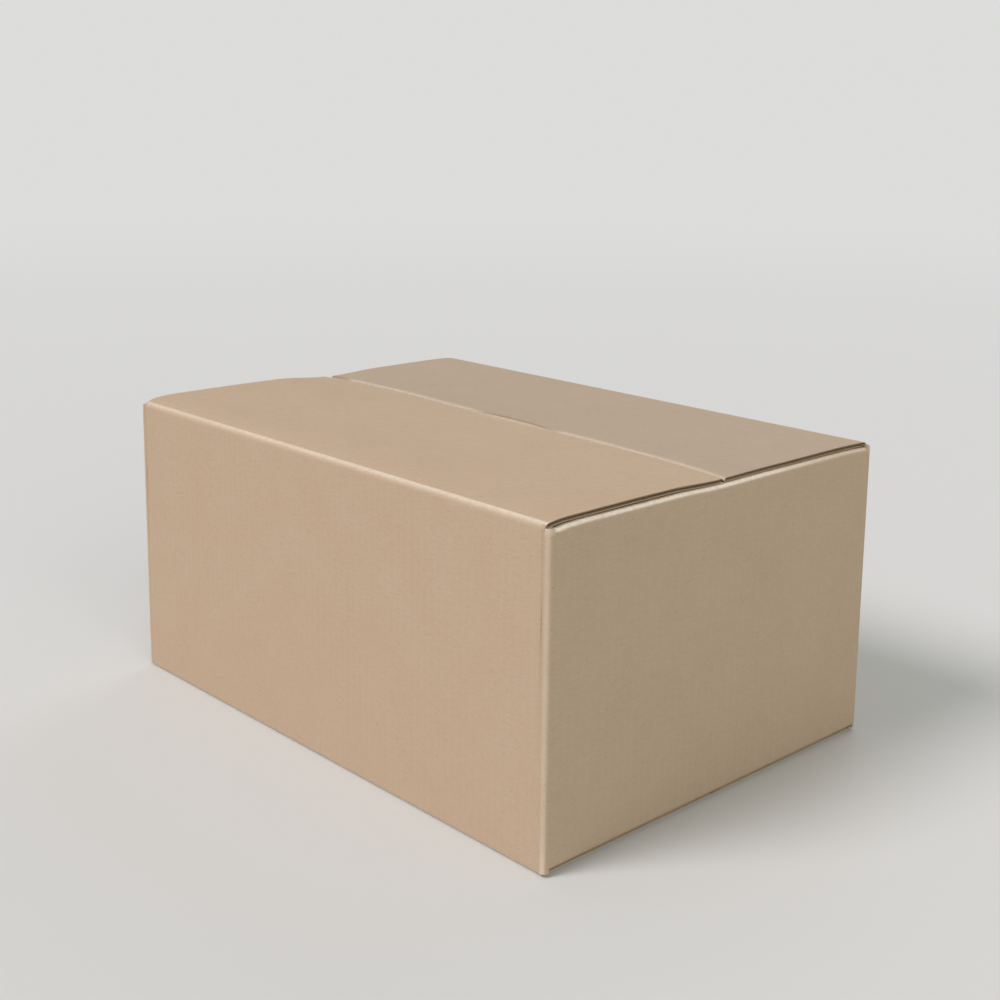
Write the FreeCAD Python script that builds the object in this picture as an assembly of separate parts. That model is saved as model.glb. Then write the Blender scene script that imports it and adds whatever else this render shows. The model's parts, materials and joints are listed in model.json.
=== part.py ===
import FreeCAD, Part
import math
import os

# Closed slotted carton of single-wall corrugated board, folded and glued from one blank.
# Millimetres. +X runs along the length, +Y from the front panel to the back and +Z up.
# The origin is under the middle of the base.

# Outside sizes, over the panels and up to the creases of the outer flaps
length = 430.0
width = 305.0
height = 205.0

# Board and creases
board = 3.0
crease_inside_radius = 0.5

# Slots that part the flaps at the corners: flat board left beside each upright crease,
# and how far the roots of the slots lie inside the top and the base
outer_slot_side = 0.5
inner_slot_side = 1.0
slot_root_depth = 2.0

# Flaps
inner_flap_depth = 152.5
layer_gap = 0.3
base_seam_gap = 1.0

# Glued joint at the back left corner
tab_width = 35.0
tab_taper = 9.0
tab_end_gap = 2.0
joint_setback = 1.0

# Seam between the outer top flaps: it opens and drifts back towards the left end
seam_gap_left = 4.0
seam_gap_right = 1.0
seam_drift = 15.0

# Outer top flaps spring up from their creases, and droop again near the seam
front_crown_left = 3.8
front_crown_right = 2.0
rear_crown_left = 2.2
rear_crown_right = 0.8
crown_run = 7.0
droop_run = 48.0
front_seam_lift = 2.6
rear_seam_lift = 3.4
corner_lift = 0.2
corner_sharpness = 6

# Clearances of each outer top flap: across the mitre of its crease, and at its ends
mitre_gap = 0.3
flap_end_gap = 0.3

# Where a flap's sections lie along it, from its left end at -1 to its right end at 1
stations = (-1.0, -0.9, -0.7, -0.4, 0.0, 0.4, 0.7, 0.9, 1.0)
# Where a section has points: this far past the crease, then as shares of the stretch that droops
crease_steps = (3.0, 8.0, 16.0, 32.0)
droop_shares = (0.0, 0.25, 0.5, 0.75, 1.0)

crease_radius = board + crease_inside_radius
half_length = length / 2
half_width = width / 2
inner_top = height - board - layer_gap
inner_flap_half = half_width - crease_radius - inner_slot_side
joint_x = -half_length + board
right_end = half_length - crease_radius - outer_slot_side
front_span = (-right_end, right_end)
rear_span = (joint_x + crease_radius + outer_slot_side, right_end)
tab_low = board + crease_radius + tab_end_gap
tab_high = inner_top - crease_radius - tab_end_gap
beyond = 1.0

X = FreeCAD.Vector(1, 0, 0)
Y = FreeCAD.Vector(0, 1, 0)
Z = FreeCAD.Vector(0, 0, 1)


def point(x, y, z):
    return FreeCAD.Vector(x, y, z)


def block(x, y, z):
    """A box between two limits on each axis."""
    return Part.makeBox(x[1] - x[0], y[1] - y[0], z[1] - z[0], point(x[0], y[0], z[0]))


def rounded_line(points, radius):
    """The edges of an open line of points, with an arc of this radius at each corner."""
    edges = []
    start = points[0]
    for before, corner, after in zip(points, points[1:], points[2:]):
        back = (before - corner).normalize()
        ahead = (after - corner).normalize()
        inward = (back + ahead).normalize()
        half_angle = back.getAngle(ahead) / 2
        trim = radius / math.tan(half_angle)
        crest = corner + inward * (radius / math.sin(half_angle) - radius)
        edges.append(Part.LineSegment(start, corner + back * trim).toShape())
        edges.append(Part.Arc(corner + back * trim, crest, corner + ahead * trim).toShape())
        start = corner + ahead * trim
    edges.append(Part.LineSegment(start, points[-1]).toShape())
    return edges


def inner_line(points, axis):
    """The points one board inside a line that turns left about the axis."""
    first = axis.cross(points[1] - points[0]).normalize()
    last = axis.cross(points[-1] - points[-2]).normalize()
    inner = [points[0] + first * board]
    for before, corner, after in zip(points, points[1:], points[2:]):
        back = (before - corner).normalize()
        ahead = (after - corner).normalize()
        inward = (back + ahead).normalize()
        inner.append(corner + inward * (board / math.sin(back.getAngle(ahead) / 2)))
    inner.append(points[-1] + last * board)
    return inner


def folded_strip(points, along):
    """A strip of board as wide as along, whose outside follows the points and turns left about it."""
    inner = inner_line(points, along)[::-1]
    edges = rounded_line(points, crease_radius)
    edges.append(Part.LineSegment(points[-1], inner[0]).toShape())
    edges += rounded_line(inner, crease_inside_radius)
    edges.append(Part.LineSegment(inner[-1], points[0]).toShape())
    return Part.Face(Part.Wire(edges)).extrude(along)


def panel_loop():
    """The four panels and their upright creases, between the roots of the slots.

    The back panel goes on round its left crease as the root of the glued tab, inside the left end.
    """
    low = slot_root_depth
    rise = Z * (height - 2 * slot_root_depth)
    end_to_back = [
        point(-half_length, half_width - joint_setback, low),
        point(-half_length, -half_width, low),
        point(half_length, -half_width, low),
        point(half_length, half_width, low),
        point(0, half_width, low),
    ]
    back_to_tab = [
        point(0, half_width, low),
        point(joint_x, half_width, low),
        point(joint_x, half_width - 2 * crease_radius, low),
    ]
    return folded_strip(end_to_back, rise).fuse(folded_strip(back_to_tab, rise))


def glue_tab():
    """The tapered tab that is glued inside the left end panel."""
    root = half_width - crease_radius
    tip = half_width - tab_width
    outline = [
        point(joint_x, root, tab_low),
        point(joint_x, tip, tab_low + tab_taper),
        point(joint_x, tip, tab_high - tab_taper),
        point(joint_x, root, tab_high),
    ]
    return Part.Face(Part.makePolygon(outline + outline[:1])).extrude(X * board)


def loop_cuts():
    """What comes off the loop: where the flaps' creases turn, and above and below the tab."""
    cuts = []
    for side, span in ((-1, front_span), (1, rear_span)):
        y = sorted((side * (half_width + beyond), side * (half_width - board - beyond)))
        cuts.append(block(span, y, (-beyond, crease_radius)))
        cuts.append(block(span, y, (height - crease_radius, height)))
    for side in (-1, 1):
        x = sorted((side * (half_length + beyond), side * (half_length - board)))
        y = (-inner_flap_half, inner_flap_half)
        cuts.append(block(x, y, (-beyond, board + crease_radius)))
        cuts.append(block(x, y, (inner_top - crease_radius, height)))
    x = (joint_x, joint_x + board + beyond)
    y = (half_width - 2 * crease_radius - beyond, half_width - crease_radius)
    cuts.append(block(x, y, (-beyond, tab_low)))
    cuts.append(block(x, y, (tab_high, height)))
    return cuts


def end_strip(side):
    """An end panel with its inner flaps, which lie inside the outer ones at the top and the base."""
    x = side * half_length
    tip = side * (half_length - inner_flap_depth)
    y = -inner_flap_half
    line = [point(tip, y, board), point(x, y, board), point(x, y, inner_top), point(tip, y, inner_top)]
    return folded_strip(line[::-side], Y * (2 * inner_flap_half))


def long_strip(side, span):
    """A long panel with its outer base flap, up to the mitre of its top crease."""
    x = span[0]
    y = side * half_width
    line = [
        point(x, side * base_seam_gap / 2, 0),
        point(x, y, 0),
        point(x, y, height),
        point(x, y - side * 2 * crease_radius, height),
    ]
    strip = folded_strip(line[::side], X * (span[1] - span[0]))
    return strip.cut(mitre_wedge(side, span))


def mitre_wedge(side, span):
    """Everything on the flap's side of a top crease's mitre, with half of the gap there."""
    reach = 4 * crease_radius
    step = mitre_gap / 2 / math.sqrt(2)
    x = span[0] - beyond
    y = side * half_width
    outline = [
        point(x, y + side * (reach + step), height + reach - step),
        point(x, y - side * (reach - step), height - reach - step),
        point(x, y - side * (reach - step), height + reach - step),
    ]
    width_cut = X * (span[1] - span[0] + 2 * beyond)
    return Part.Face(Part.makePolygon(outline + outline[:1])).extrude(width_cut)


def carton():
    """All of the sheet but its outer top flaps: the panels, the inner flaps and the glued base."""
    loop = panel_loop().cut(Part.makeCompound(loop_cuts()))
    strips = [end_strip(-1), end_strip(1), long_strip(-1, front_span), long_strip(1, rear_span)]
    return loop.fuse(strips + [glue_tab()]).removeSplitter()


def mix(left, right, station):
    """A value between a left and a right one, at a place along a flap."""
    return left + (right - left) * (station + 1) / 2


def smooth_step(share):
    share = min(max(share, 0.0), 1.0)
    return share * share * (3 - 2 * share)


def flap_depth(side, station):
    """How far an outer top flap reaches from the outside of its panel."""
    middle = mix(seam_drift, 0, station)
    gap = mix(seam_gap_left, seam_gap_right, station)
    return half_width - side * middle - gap / 2


def flap_lift(past_crease, reach, crown, seam_lift, station):
    """How high an outer top flap's upper face lies over its crease."""
    rise = crown * (1 - math.exp(-past_crease / crown_run))
    edge = corner_lift + (seam_lift - corner_lift) * (1 - abs(station) ** corner_sharpness)
    return rise + (edge - crown) * smooth_step((past_crease - reach + droop_run) / droop_run)


def flap_section(side, x, station, crown, seam_lift):
    """The outline of an outer top flap, cut across at x."""
    reach = flap_depth(side, station) - crease_radius
    step = mitre_gap / 2 / math.sqrt(2)
    crest = crease_radius * (1 - math.sqrt(0.5))
    root = crest + board * math.sqrt(0.5)
    droops = [reach - droop_run * (1 - share) for share in droop_shares]

    def place(out, up):
        return point(x, side * (half_width - out), height + up)

    upper = [place(crest + step, step - crest), place(crease_radius, 0)]
    lower = [place(root + step, step - root)]
    for past_crease in (*crease_steps, *droops):
        lift = flap_lift(past_crease, reach, crown, seam_lift, station)
        upper.append(place(crease_radius + past_crease, lift))
        lower.append(place(crease_radius + past_crease, lift - board))
    top = Part.BSplineCurve()
    top.interpolate(upper)
    bottom = Part.BSplineCurve()
    bottom.interpolate(lower[::-1])
    free_edge = Part.LineSegment(upper[-1], lower[-1])
    mitre = Part.LineSegment(lower[0], upper[0])
    return Part.Wire([curve.toShape() for curve in (top, free_edge, bottom, mitre)])


def outer_flap(side, span, crown_left, crown_right, seam_lift):
    """An outer top flap, which turns about the outer corner line of its crease."""
    middle = (span[0] + span[1]) / 2
    half_span = (span[1] - span[0]) / 2 - flap_end_gap
    sections = []
    for station in stations:
        crown = mix(crown_left, crown_right, station)
        sections.append(flap_section(side, middle + station * half_span, station, crown, seam_lift))
    return Part.makeLoft(sections, True, False)


def main():
    front = (front_crown_left, front_crown_right, front_seam_lift)
    rear = (rear_crown_left, rear_crown_right, rear_seam_lift)
    nodes = {
        "carton": carton(),
        "front_top_flap": outer_flap(-1, front_span, *front),
        "rear_top_flap": outer_flap(1, rear_span, *rear),
    }
    os.makedirs("parts", exist_ok=True)
    for name, shape in nodes.items():
        shape.exportStep(f"parts/{name}.step")
        print(name, len(shape.Solids), "solid", shape.isValid(), round(shape.Volume), "mm3")


main()
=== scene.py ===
import json
import math

import bmesh
import bpy
from bpy.props import FloatProperty, FloatVectorProperty, IntProperty, PointerProperty
from mathutils import Matrix, Vector


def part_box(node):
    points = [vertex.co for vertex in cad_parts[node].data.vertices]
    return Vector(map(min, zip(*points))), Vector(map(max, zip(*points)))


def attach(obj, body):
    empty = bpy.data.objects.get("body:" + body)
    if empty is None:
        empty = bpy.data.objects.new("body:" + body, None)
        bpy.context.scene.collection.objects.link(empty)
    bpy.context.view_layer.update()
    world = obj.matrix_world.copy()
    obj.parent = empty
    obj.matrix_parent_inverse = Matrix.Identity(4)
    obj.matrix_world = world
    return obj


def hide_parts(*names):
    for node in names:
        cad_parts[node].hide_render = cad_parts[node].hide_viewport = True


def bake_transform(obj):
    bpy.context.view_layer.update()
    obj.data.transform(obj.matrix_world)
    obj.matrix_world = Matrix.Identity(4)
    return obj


bl_info = {
    "name": "Closed cardboard box",
    "version": (1, 0, 0),
    "blender": (4, 5, 0),
    "location": "View3D > Sidebar > Carton",
    "description": "Builds the boards, creases and flutes of a closed slotted carton",
    "category": "Object",
}

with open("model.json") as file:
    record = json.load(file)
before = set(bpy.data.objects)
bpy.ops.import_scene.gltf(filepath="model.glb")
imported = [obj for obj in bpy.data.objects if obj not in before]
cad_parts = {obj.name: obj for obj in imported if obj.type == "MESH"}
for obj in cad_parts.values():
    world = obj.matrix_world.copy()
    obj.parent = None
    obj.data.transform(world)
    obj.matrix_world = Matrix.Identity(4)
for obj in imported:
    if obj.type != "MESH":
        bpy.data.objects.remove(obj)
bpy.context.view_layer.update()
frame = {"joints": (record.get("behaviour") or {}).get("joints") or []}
_, BODY_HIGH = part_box("carton")
HINGES = {joint["child"]: Vector(joint["pos_m"]) for joint in frame["joints"]}
FRONT, REAR = -1, 1
LEFT, RIGHT = -1, 1
SIDES = {"front": FRONT, "rear": REAR}

# How far apart the meshes' rows and columns lie, in metres, and how finely creases and flutes turn
PANEL_STEP = 0.0105
FOLDED_STEP = 0.012
FLAP_STEP = 0.0073
ARC_STEPS = 12
MITRE_STEPS = 3
BEND_DEGREES = 6
STEPS_PER_FLUTE = 10

# Where they lie closer: from a panel's sides, from its top and base, past a crease, and from a cut edge
WALL_INSETS = (0.0, 0.0005, 0.0010, 0.0013, 0.0016, 0.0019, 0.0022, 0.0027, 0.0034, 0.006, 0.011)
HEIGHT_INSETS = (0.0, 0.003, 0.008)
CREASE_STEPS = (0.0, 0.001, 0.002, 0.0035, 0.005, 0.007, 0.0095, 0.0125, 0.016, 0.020, 0.025)
CUT_INSETS = (0.0, 0.0001, 0.0003, 0.0006, 0.0010, 0.0015, 0.0021, 0.0026, 0.004, 0.008)

# Points this near are welded, heights this near are the same, and an edge this steep is sharp
WELD = 2e-6
FLUTE_WELD = 1e-6
TINY = 1e-7
SHARP_DEGREES = 40

# Room between the papers: beside the core, over the flutes, and under the liner that bends
CORE_ROOM = 0.00004
FLUTE_ROOM = 0.00010
LINER_ROOM = 0.00008

# Where a flap's flutes start past its bending liner and inside its sides, how far a cut edge flattens
# them, and where those of the inner flaps take over from the core, in radii of the crease
FLUTE_START = 0.001
FLUTE_INSET = 0.0004
MOST_FLATTENED = 0.9
INNER_CORE_END = 2.0


def metres(name, description, default):
    """A length that a user can change."""
    return FloatProperty(name=name, description=description, default=default, unit="LENGTH", precision=5)


def share(name, description, default):
    """A plain number from nought up that a user can change."""
    return FloatProperty(name=name, description=description, default=default, subtype="FACTOR", min=0.0)


def colour(name, description, default):
    """A linear colour that a user can change."""
    return FloatVectorProperty(
        name=name, description=description, default=default, subtype="COLOR", size=3, min=0.0, max=1.0
    )


class BoardSizes(bpy.types.PropertyGroup):
    """The corrugated board and its creases."""

    thickness: metres("Board", "Thickness of the whole board", 0.003)
    liner: metres("Liner", "Thickness of each of its two liners", 0.00035)
    medium: metres("Medium", "Thickness of the fluted paper between them", 0.00025)
    flute_pitch: metres("Flute pitch", "From one flute's top to the next", 0.0063)
    inside_radius: metres("Crease radius", "Radius inside a crease", 0.0005)
    cut_recess: metres("Cut recess", "How far the core lies behind a cut edge", 0.0004)
    side_crush: metres("Side crush", "How far a liner turns in at a flap's side edges", 0.00012)
    side_run: metres("Side run", "How far from a side edge that starts", 0.0010)
    front_crush: metres("Front crush", "How far the front flap's liner turns in at its free edge", 0.0003)
    rear_crush: metres("Rear crush", "How far the rear flap's liner turns in at its free edge", 0.0021)
    end_run: metres("End run", "How far from a free edge that starts", 0.0026)
    inside_share: share("Inside share", "How much of that the inside liner turns in", 0.35)
    score_depth: metres("Score", "Depth of the scored line beside an upright crease", 0.00045)
    score_at: metres("Score place", "From the flat's end to the scored line", 0.0016)
    score_half: metres("Score half", "Half the width of the scored line", 0.0009)


class BlankSizes(bpy.types.PropertyGroup):
    """The folded blank: its panels, slots, inner flaps and glued joint."""

    outer_slot_side: metres("Outer slot side", "Flat board beside a crease, outer flaps", 0.0005)
    inner_slot_side: metres("Inner slot side", "Flat board beside a crease, inner flaps", 0.0010)
    slot_root: metres("Slot root", "How far a slot's root lies inside the top and base", 0.002)
    inner_flap_depth: metres("Inner flap", "Depth of the inner flaps", 0.1525)
    layer_gap: metres("Layer gap", "Between the outer and inner top flaps", 0.0003)
    base_seam: metres("Base seam", "Gap between the outer base flaps", 0.001)
    tab_width: metres("Tab width", "Width of the glued tab", 0.035)
    tab_taper: metres("Tab taper", "How far the tab narrows at each end", 0.009)
    tab_end_gap: metres("Tab end gap", "From the tab's ends to the creases", 0.002)
    joint_setback: metres("Joint setback", "From the end panel's raw edge to the corner", 0.001)


class TopFlapSizes(bpy.types.PropertyGroup):
    """The two outer top flaps, which spring up from their creases and droop near the seam."""

    seam_gap_left: metres("Seam gap left", "Gap between the flaps at the left end", 0.004)
    seam_gap_right: metres("Seam gap right", "Gap between the flaps at the right end", 0.001)
    seam_drift: metres("Seam drift", "How far back the seam lies at the left end", 0.015)
    front_crown_left: metres("Front crown left", "Height of the front flap's crown", 0.0038)
    front_crown_right: metres("Front crown right", "Height of the front flap's crown", 0.0020)
    rear_crown_left: metres("Rear crown left", "Height of the rear flap's crown", 0.0022)
    rear_crown_right: metres("Rear crown right", "Height of the rear flap's crown", 0.0008)
    crown_run: metres("Crown run", "How fast a flap rises past its crease", 0.007)
    droop_run: metres("Droop run", "How far from the seam a flap starts to droop", 0.048)
    front_seam_lift: metres("Front seam lift", "Height of the front flap's free edge", 0.0026)
    rear_seam_lift: metres("Rear seam lift", "Height of the rear flap's free edge", 0.0034)
    corner_lift: metres("Corner lift", "Height of the free edges' ends", 0.0002)
    corner_sharpness: IntProperty(
        name="Corner sharpness", description="How late the free edges fall at their ends", default=6
    )
    overlap_at: metres("Overlap place", "Where the front flap's edge rides over the rear one's", 0.018)
    overlap_run: metres("Overlap run", "Half the length of that stretch", 0.034)
    overlap_rise: metres("Overlap rise", "How much the front flap's edge curls up there", 0.0010)
    overlap_curl: metres("Overlap curl", "How far from its edge that curl starts", 0.005)
    # Painted shade: from this far out at the left end, the rear flap's lip along the seam is painted dark
    shade_at: metres("Shade place", "How far out at the left end the seam looks dark again", 0.182)
    end_gap: metres("End gap", "Clearance at a flap's ends", 0.0003)
    mitre_gap: metres("Mitre gap", "Half of the clearance across a crease's mitre", 0.0001)
    end_rise: metres("End rise", "How far the end creases are drawn up under the outer flaps", 0.0013)
    liner_overlap: metres("Liner overlap", "Where the bending liner ends past the crease", 0.0005)
    bend_half: metres("Bend", "Half the width of the liner that bends", 0.0012)
    ripple: metres("Ripple", "Height of the soft waves in a flap", 0.00022)


class KraftColours(bpy.types.PropertyGroup):
    """Colours of the papers, linear, with a pale colour for rubbed liner and painted highlight and a dark
    one for pressed liner and painted shade.
    """

    outside: colour("Outside", "Liner on the outside", (0.524, 0.386, 0.270))
    inside: colour("Inside", "Liner on the inside", (0.480, 0.352, 0.240))
    core: colour("Core", "Fluted paper in the middle", (0.390, 0.275, 0.175))
    # Pale colour for rubbed creases and cut edges, and for painted highlight on the creases, the corners
    # and the front flap's lip
    worn_and_highlit: colour("Worn", "Liner where a crease or a cut edge has rubbed", (0.900, 0.790, 0.655))
    # Dark colour for liner pressed into a scored line, with painted shade there, and for painted shade on
    # the rear flap's lip along the seam
    pressed: colour("Pressed", "Liner that is pressed in along a scored line", (0.330, 0.230, 0.150))
    # Makes the rear flap's liner darker and cooler than the front flap's
    rear_darker_tint: colour("Rear tone", "Multiplies the liner's colour on the rear flap", (0.885, 0.930, 0.990))
    # How much of the pale colour shows, for rubbed liner and painted highlight alike
    wear_and_painted_light: share("Wear", "How much of the worn colour shows on a crease", 0.85)
    mottle: share("Mottle", "Strength of the cloudy variation", 0.10)
    fibre: share("Fibre", "Strength of the fibres", 0.16)
    roughness: share("Roughness", "Roughness of the paper", 0.86)


class StudioSizes(bpy.types.PropertyGroup):
    """The camera, the floor and the lamps."""

    floor_radius: metres("Floor", "Radius of the floor", 14.0)
    floor_drop: metres("Floor drop", "How far the floor lies under the base", 0.0002)
    floor_colour: colour("Floor colour", "Colour of the floor", (0.70, 0.70, 0.69))
    backdrop: colour("Backdrop", "Colour behind the floor", (0.72, 0.72, 0.71))
    sky: share("Sky", "Strength of the light from all round", 0.40)
    key: share("Key", "Strength of the key lamp", 1.85)
    fill: share("Fill", "Strength of the fill lamp", 0.70)
    back: share("Back", "Strength of the lamp behind", 0.4)
    sky_tint: colour("Sky tint", "Tint of the light from all round", (0.99, 1.0, 0.985))
    key_tint: colour("Key tint", "Tint of the key lamp", (1.0, 0.955, 0.98))
    fill_tint: colour("Fill tint", "Tint of the fill lamp", (0.92, 1.0, 0.91))


GROUPS = {
    "carton_board": BoardSizes,
    "carton_blank": BlankSizes,
    "carton_top": TopFlapSizes,
    "carton_kraft": KraftColours,
    "carton_studio": StudioSizes,
}


class Sizes:
    """The sizes that the pieces share, worked out from the frame and the settings."""

    def __init__(self, scene):
        self.board = scene.carton_board
        self.blank = scene.carton_blank
        self.top = scene.carton_top
        self.half_length = BODY_HIGH.x
        self.half_width = BODY_HIGH.y
        self.height = HINGES["front_flap"].z
        self.thick = self.board.thickness
        self.radius = self.thick + self.board.inside_radius
        self.crest = self.radius * (1 - math.sqrt(0.5))
        self.inner_top = self.height - self.thick - self.blank.layer_gap
        self.inner_half = self.half_width - self.radius - self.blank.inner_slot_side
        self.joint_x = -self.half_length + self.thick
        self.right_end = self.half_length - self.radius - self.blank.outer_slot_side
        self.spans = {
            FRONT: (-self.right_end, self.right_end),
            REAR: (self.joint_x + self.radius + self.blank.outer_slot_side, self.right_end),
        }
        self.liner_end = self.radius + self.top.liner_overlap
        self.under_liner = self.crest + (self.board.liner + LINER_ROOM) * math.sqrt(0.5)
        self.mitre_shift = self.top.mitre_gap / math.sqrt(2)
        self.mean_reach = self.half_width - (self.top.seam_gap_left + self.top.seam_gap_right) / 4
        slot_sides = self.blank.inner_slot_side + self.blank.outer_slot_side
        self.corner_run = slot_sides + math.pi / 2 * self.radius

    def flap_span(self, side):
        """Where an outer top flap starts and ends along the length."""
        low, high = self.spans[side]
        return low + self.top.end_gap, high - self.top.end_gap

    def flap_x(self, side, station):
        """Where a station of an outer top flap, from -1 to 1, lies along the length."""
        low, high = self.flap_span(side)
        return (low + high) / 2 + station * (high - low) / 2

    def from_side(self, side, station):
        """How far a station lies from the nearer side edge of its flap."""
        low, high = self.flap_span(side)
        return (1 - abs(station)) * (high - low) / 2

    def end_across(self, y):
        """How far across the flutes a place on an end lies, round the box from the front's middle."""
        return self.right_end + self.corner_run + self.inner_half + y

    def long_across(self, side, x):
        """The same for a place on the front or the back, or on a flap of theirs."""
        if side == FRONT:
            return x
        return self.end_across(self.inner_half) + self.corner_run + self.right_end - x


def spread(low, high, step):
    """Evenly spaced values from low to high, about a step apart."""
    count = max(1, round((high - low) / step))
    return [low + (high - low) * i / count for i in range(count + 1)]


def with_ends(low, high, insets):
    """Values from low to high, a panel's step apart, with some close to each end at these insets."""
    inner = spread(low + insets[-1], high - insets[-1], PANEL_STEP)
    return [low + i for i in insets[:-1]] + inner + [high - i for i in reversed(insets[:-1])]


def arc(centre, radius, start, end, steps=ARC_STEPS):
    """Points on an arc in a plane, with angles in degrees."""
    points = []
    for i in range(steps + 1):
        angle = math.radians(start + (end - start) * i / steps)
        points.append((centre[0] + radius * math.cos(angle), centre[1] + radius * math.sin(angle)))
    return points


def smooth_step(value):
    """A smooth rise from 0 at nought to 1 at one, level before and after."""
    value = min(max(value, 0.0), 1.0)
    return value * value * (3 - 2 * value)


def bell(distance, width):
    """1 at no distance, fading evenly to both sides."""
    return math.exp(-((distance / width) ** 2))


def mix(left, right, station):
    """A value between a left and a right one, at a place along a flap from -1 to 1."""
    return left + (right - left) * (station + 1) / 2


class Surface:
    """A mesh of quads. Its points know how far across the flutes they lie, and how near a cut; on the
    flaps' liners that mark also holds painted highlight and painted shade.
    """

    def __init__(self):
        self.mesh = bmesh.new()
        self.layers = [self.mesh.verts.layers.float.new(name) for name in ("across", "cut")]

    def add(self, rows, flip=False):
        """Adds a grid of (point, across, cut) rows, facing along the columns' turn towards the rows."""
        grid = []
        for row in rows:
            verts = []
            for place, *values in row:
                vert = self.mesh.verts.new(place)
                for layer, value in zip(self.layers, values):
                    vert[layer] = value
                verts.append(vert)
            grid.append(verts)
        for lower, upper in zip(grid, grid[1:]):
            for j in range(len(lower) - 1):
                corners = [lower[j], lower[j + 1], upper[j + 1], upper[j]]
                self.mesh.faces.new(corners[::-1] if flip else corners)

    def to_object(self, name):
        """Welds the grids and makes an object of them."""
        bmesh.ops.remove_doubles(self.mesh, verts=self.mesh.verts, dist=WELD)
        data = bpy.data.meshes.new(name)
        self.mesh.to_mesh(data)
        self.mesh.free()
        obj = bpy.data.objects.new(name, data)
        bpy.context.scene.collection.objects.link(obj)
        return obj


def bake_modifiers(obj):
    """Turns an object with its modifiers into a plain mesh."""
    graph = bpy.context.evaluated_depsgraph_get()
    made = bpy.data.meshes.new_from_object(obj.evaluated_get(graph))
    old = obj.data
    obj.modifiers.clear()
    obj.data = made
    made.name = old.name
    bpy.data.meshes.remove(old)


def thicken(obj, thickness, offset):
    """Gives a surface its thickness: behind its face at an offset of -1, on both sides at 0."""
    solid = obj.modifiers.new("thickness", "SOLIDIFY")
    solid.thickness = thickness
    solid.offset = offset
    solid.use_even_offset = True
    solid.use_quality_normals = True
    solid.use_rim = True
    bake_modifiers(obj)


def dress(obj, material, sizes, worn_and_highlit=False, rear=False):
    """Smooths a finished piece, marks its rubbed liner with its painted highlight and shade and the rear
    flap's darker tint, and gives it its material.
    """
    data = obj.data
    data.shade_smooth()
    data.set_sharp_from_angle(angle=math.radians(SHARP_DEGREES))
    if worn_and_highlit:
        marks = data.attributes.new("wear_and_painted_light", "FLOAT", "POINT")
        marks.data.foreach_set("value", [crease_wear_and_light(v.co, sizes) for v in data.vertices])
    if rear:
        tones = data.attributes.new("rear_darker", "FLOAT", "POINT")
        tones.data.foreach_set("value", [rear_darker_tint(v.co, sizes) for v in data.vertices])
    data.materials.clear()
    data.materials.append(material)


def board_piece(surface, name, thickness, material, sizes, offset=-1.0, worn_and_highlit=False, rear=False):
    """A piece of paper or board: a surface that is welded, thickened and dressed."""
    piece = surface.to_object(name)
    thicken(piece, thickness, offset)
    dress(piece, material, sizes, worn_and_highlit, rear)
    return piece


# How much pale colour shows on each kind of crease, for rubbed liner and painted highlight together: more
# to the right on the long ones, less to the back on the end ones, and more at the corners' feet
LONG_CREASE_WEAR_AND_HIGHLIGHT = 0.58
RIGHTWARD_GAIN = 0.10
BACKWARD_LOSS = 0.55
SLOT_ROOT_WEAR = 0.45
BASE_WEAR = 0.6
CORNER_WEAR_AND_HIGHLIGHT = 0.19
FOOT_GAIN = 0.25

# Where it shows, in metres. Up a top crease's roll from its crest it starts, is full and fades
LONG_CREASE_ROLL = (-0.0015, 0.0018, 0.0026)
# The end creases' band lies high on the roll, where the outer flap shades it: rubbed liner and painted
# highlight
END_CREASE_ROLL = (-0.0012, 0.0003, 0.0034)
ROLL_FADE = 0.0006
ROLL_REACH = 0.009
BACKWARD_FROM, BACKWARD_RUN = 0.03, 0.08
SLOT_ROOT_FROM, SLOT_ROOT_RUN = 0.006, 0.003
BASE_WIDTH = 0.0013
CORNER_HALF, CORNER_FADE = 0.0011, 0.0007
FOOT_HEIGHT = 0.03

# How far past the rear panel's face the rear flap's darker, cooler tint is full
REAR_DARKER_RUN = 0.012

# What tells the boards apart: slack at their side edges, and how far under the top an inner flap lies
EDGE_SLACK = 0.0002
INNER_FLAP_DROP = 0.0015


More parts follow.
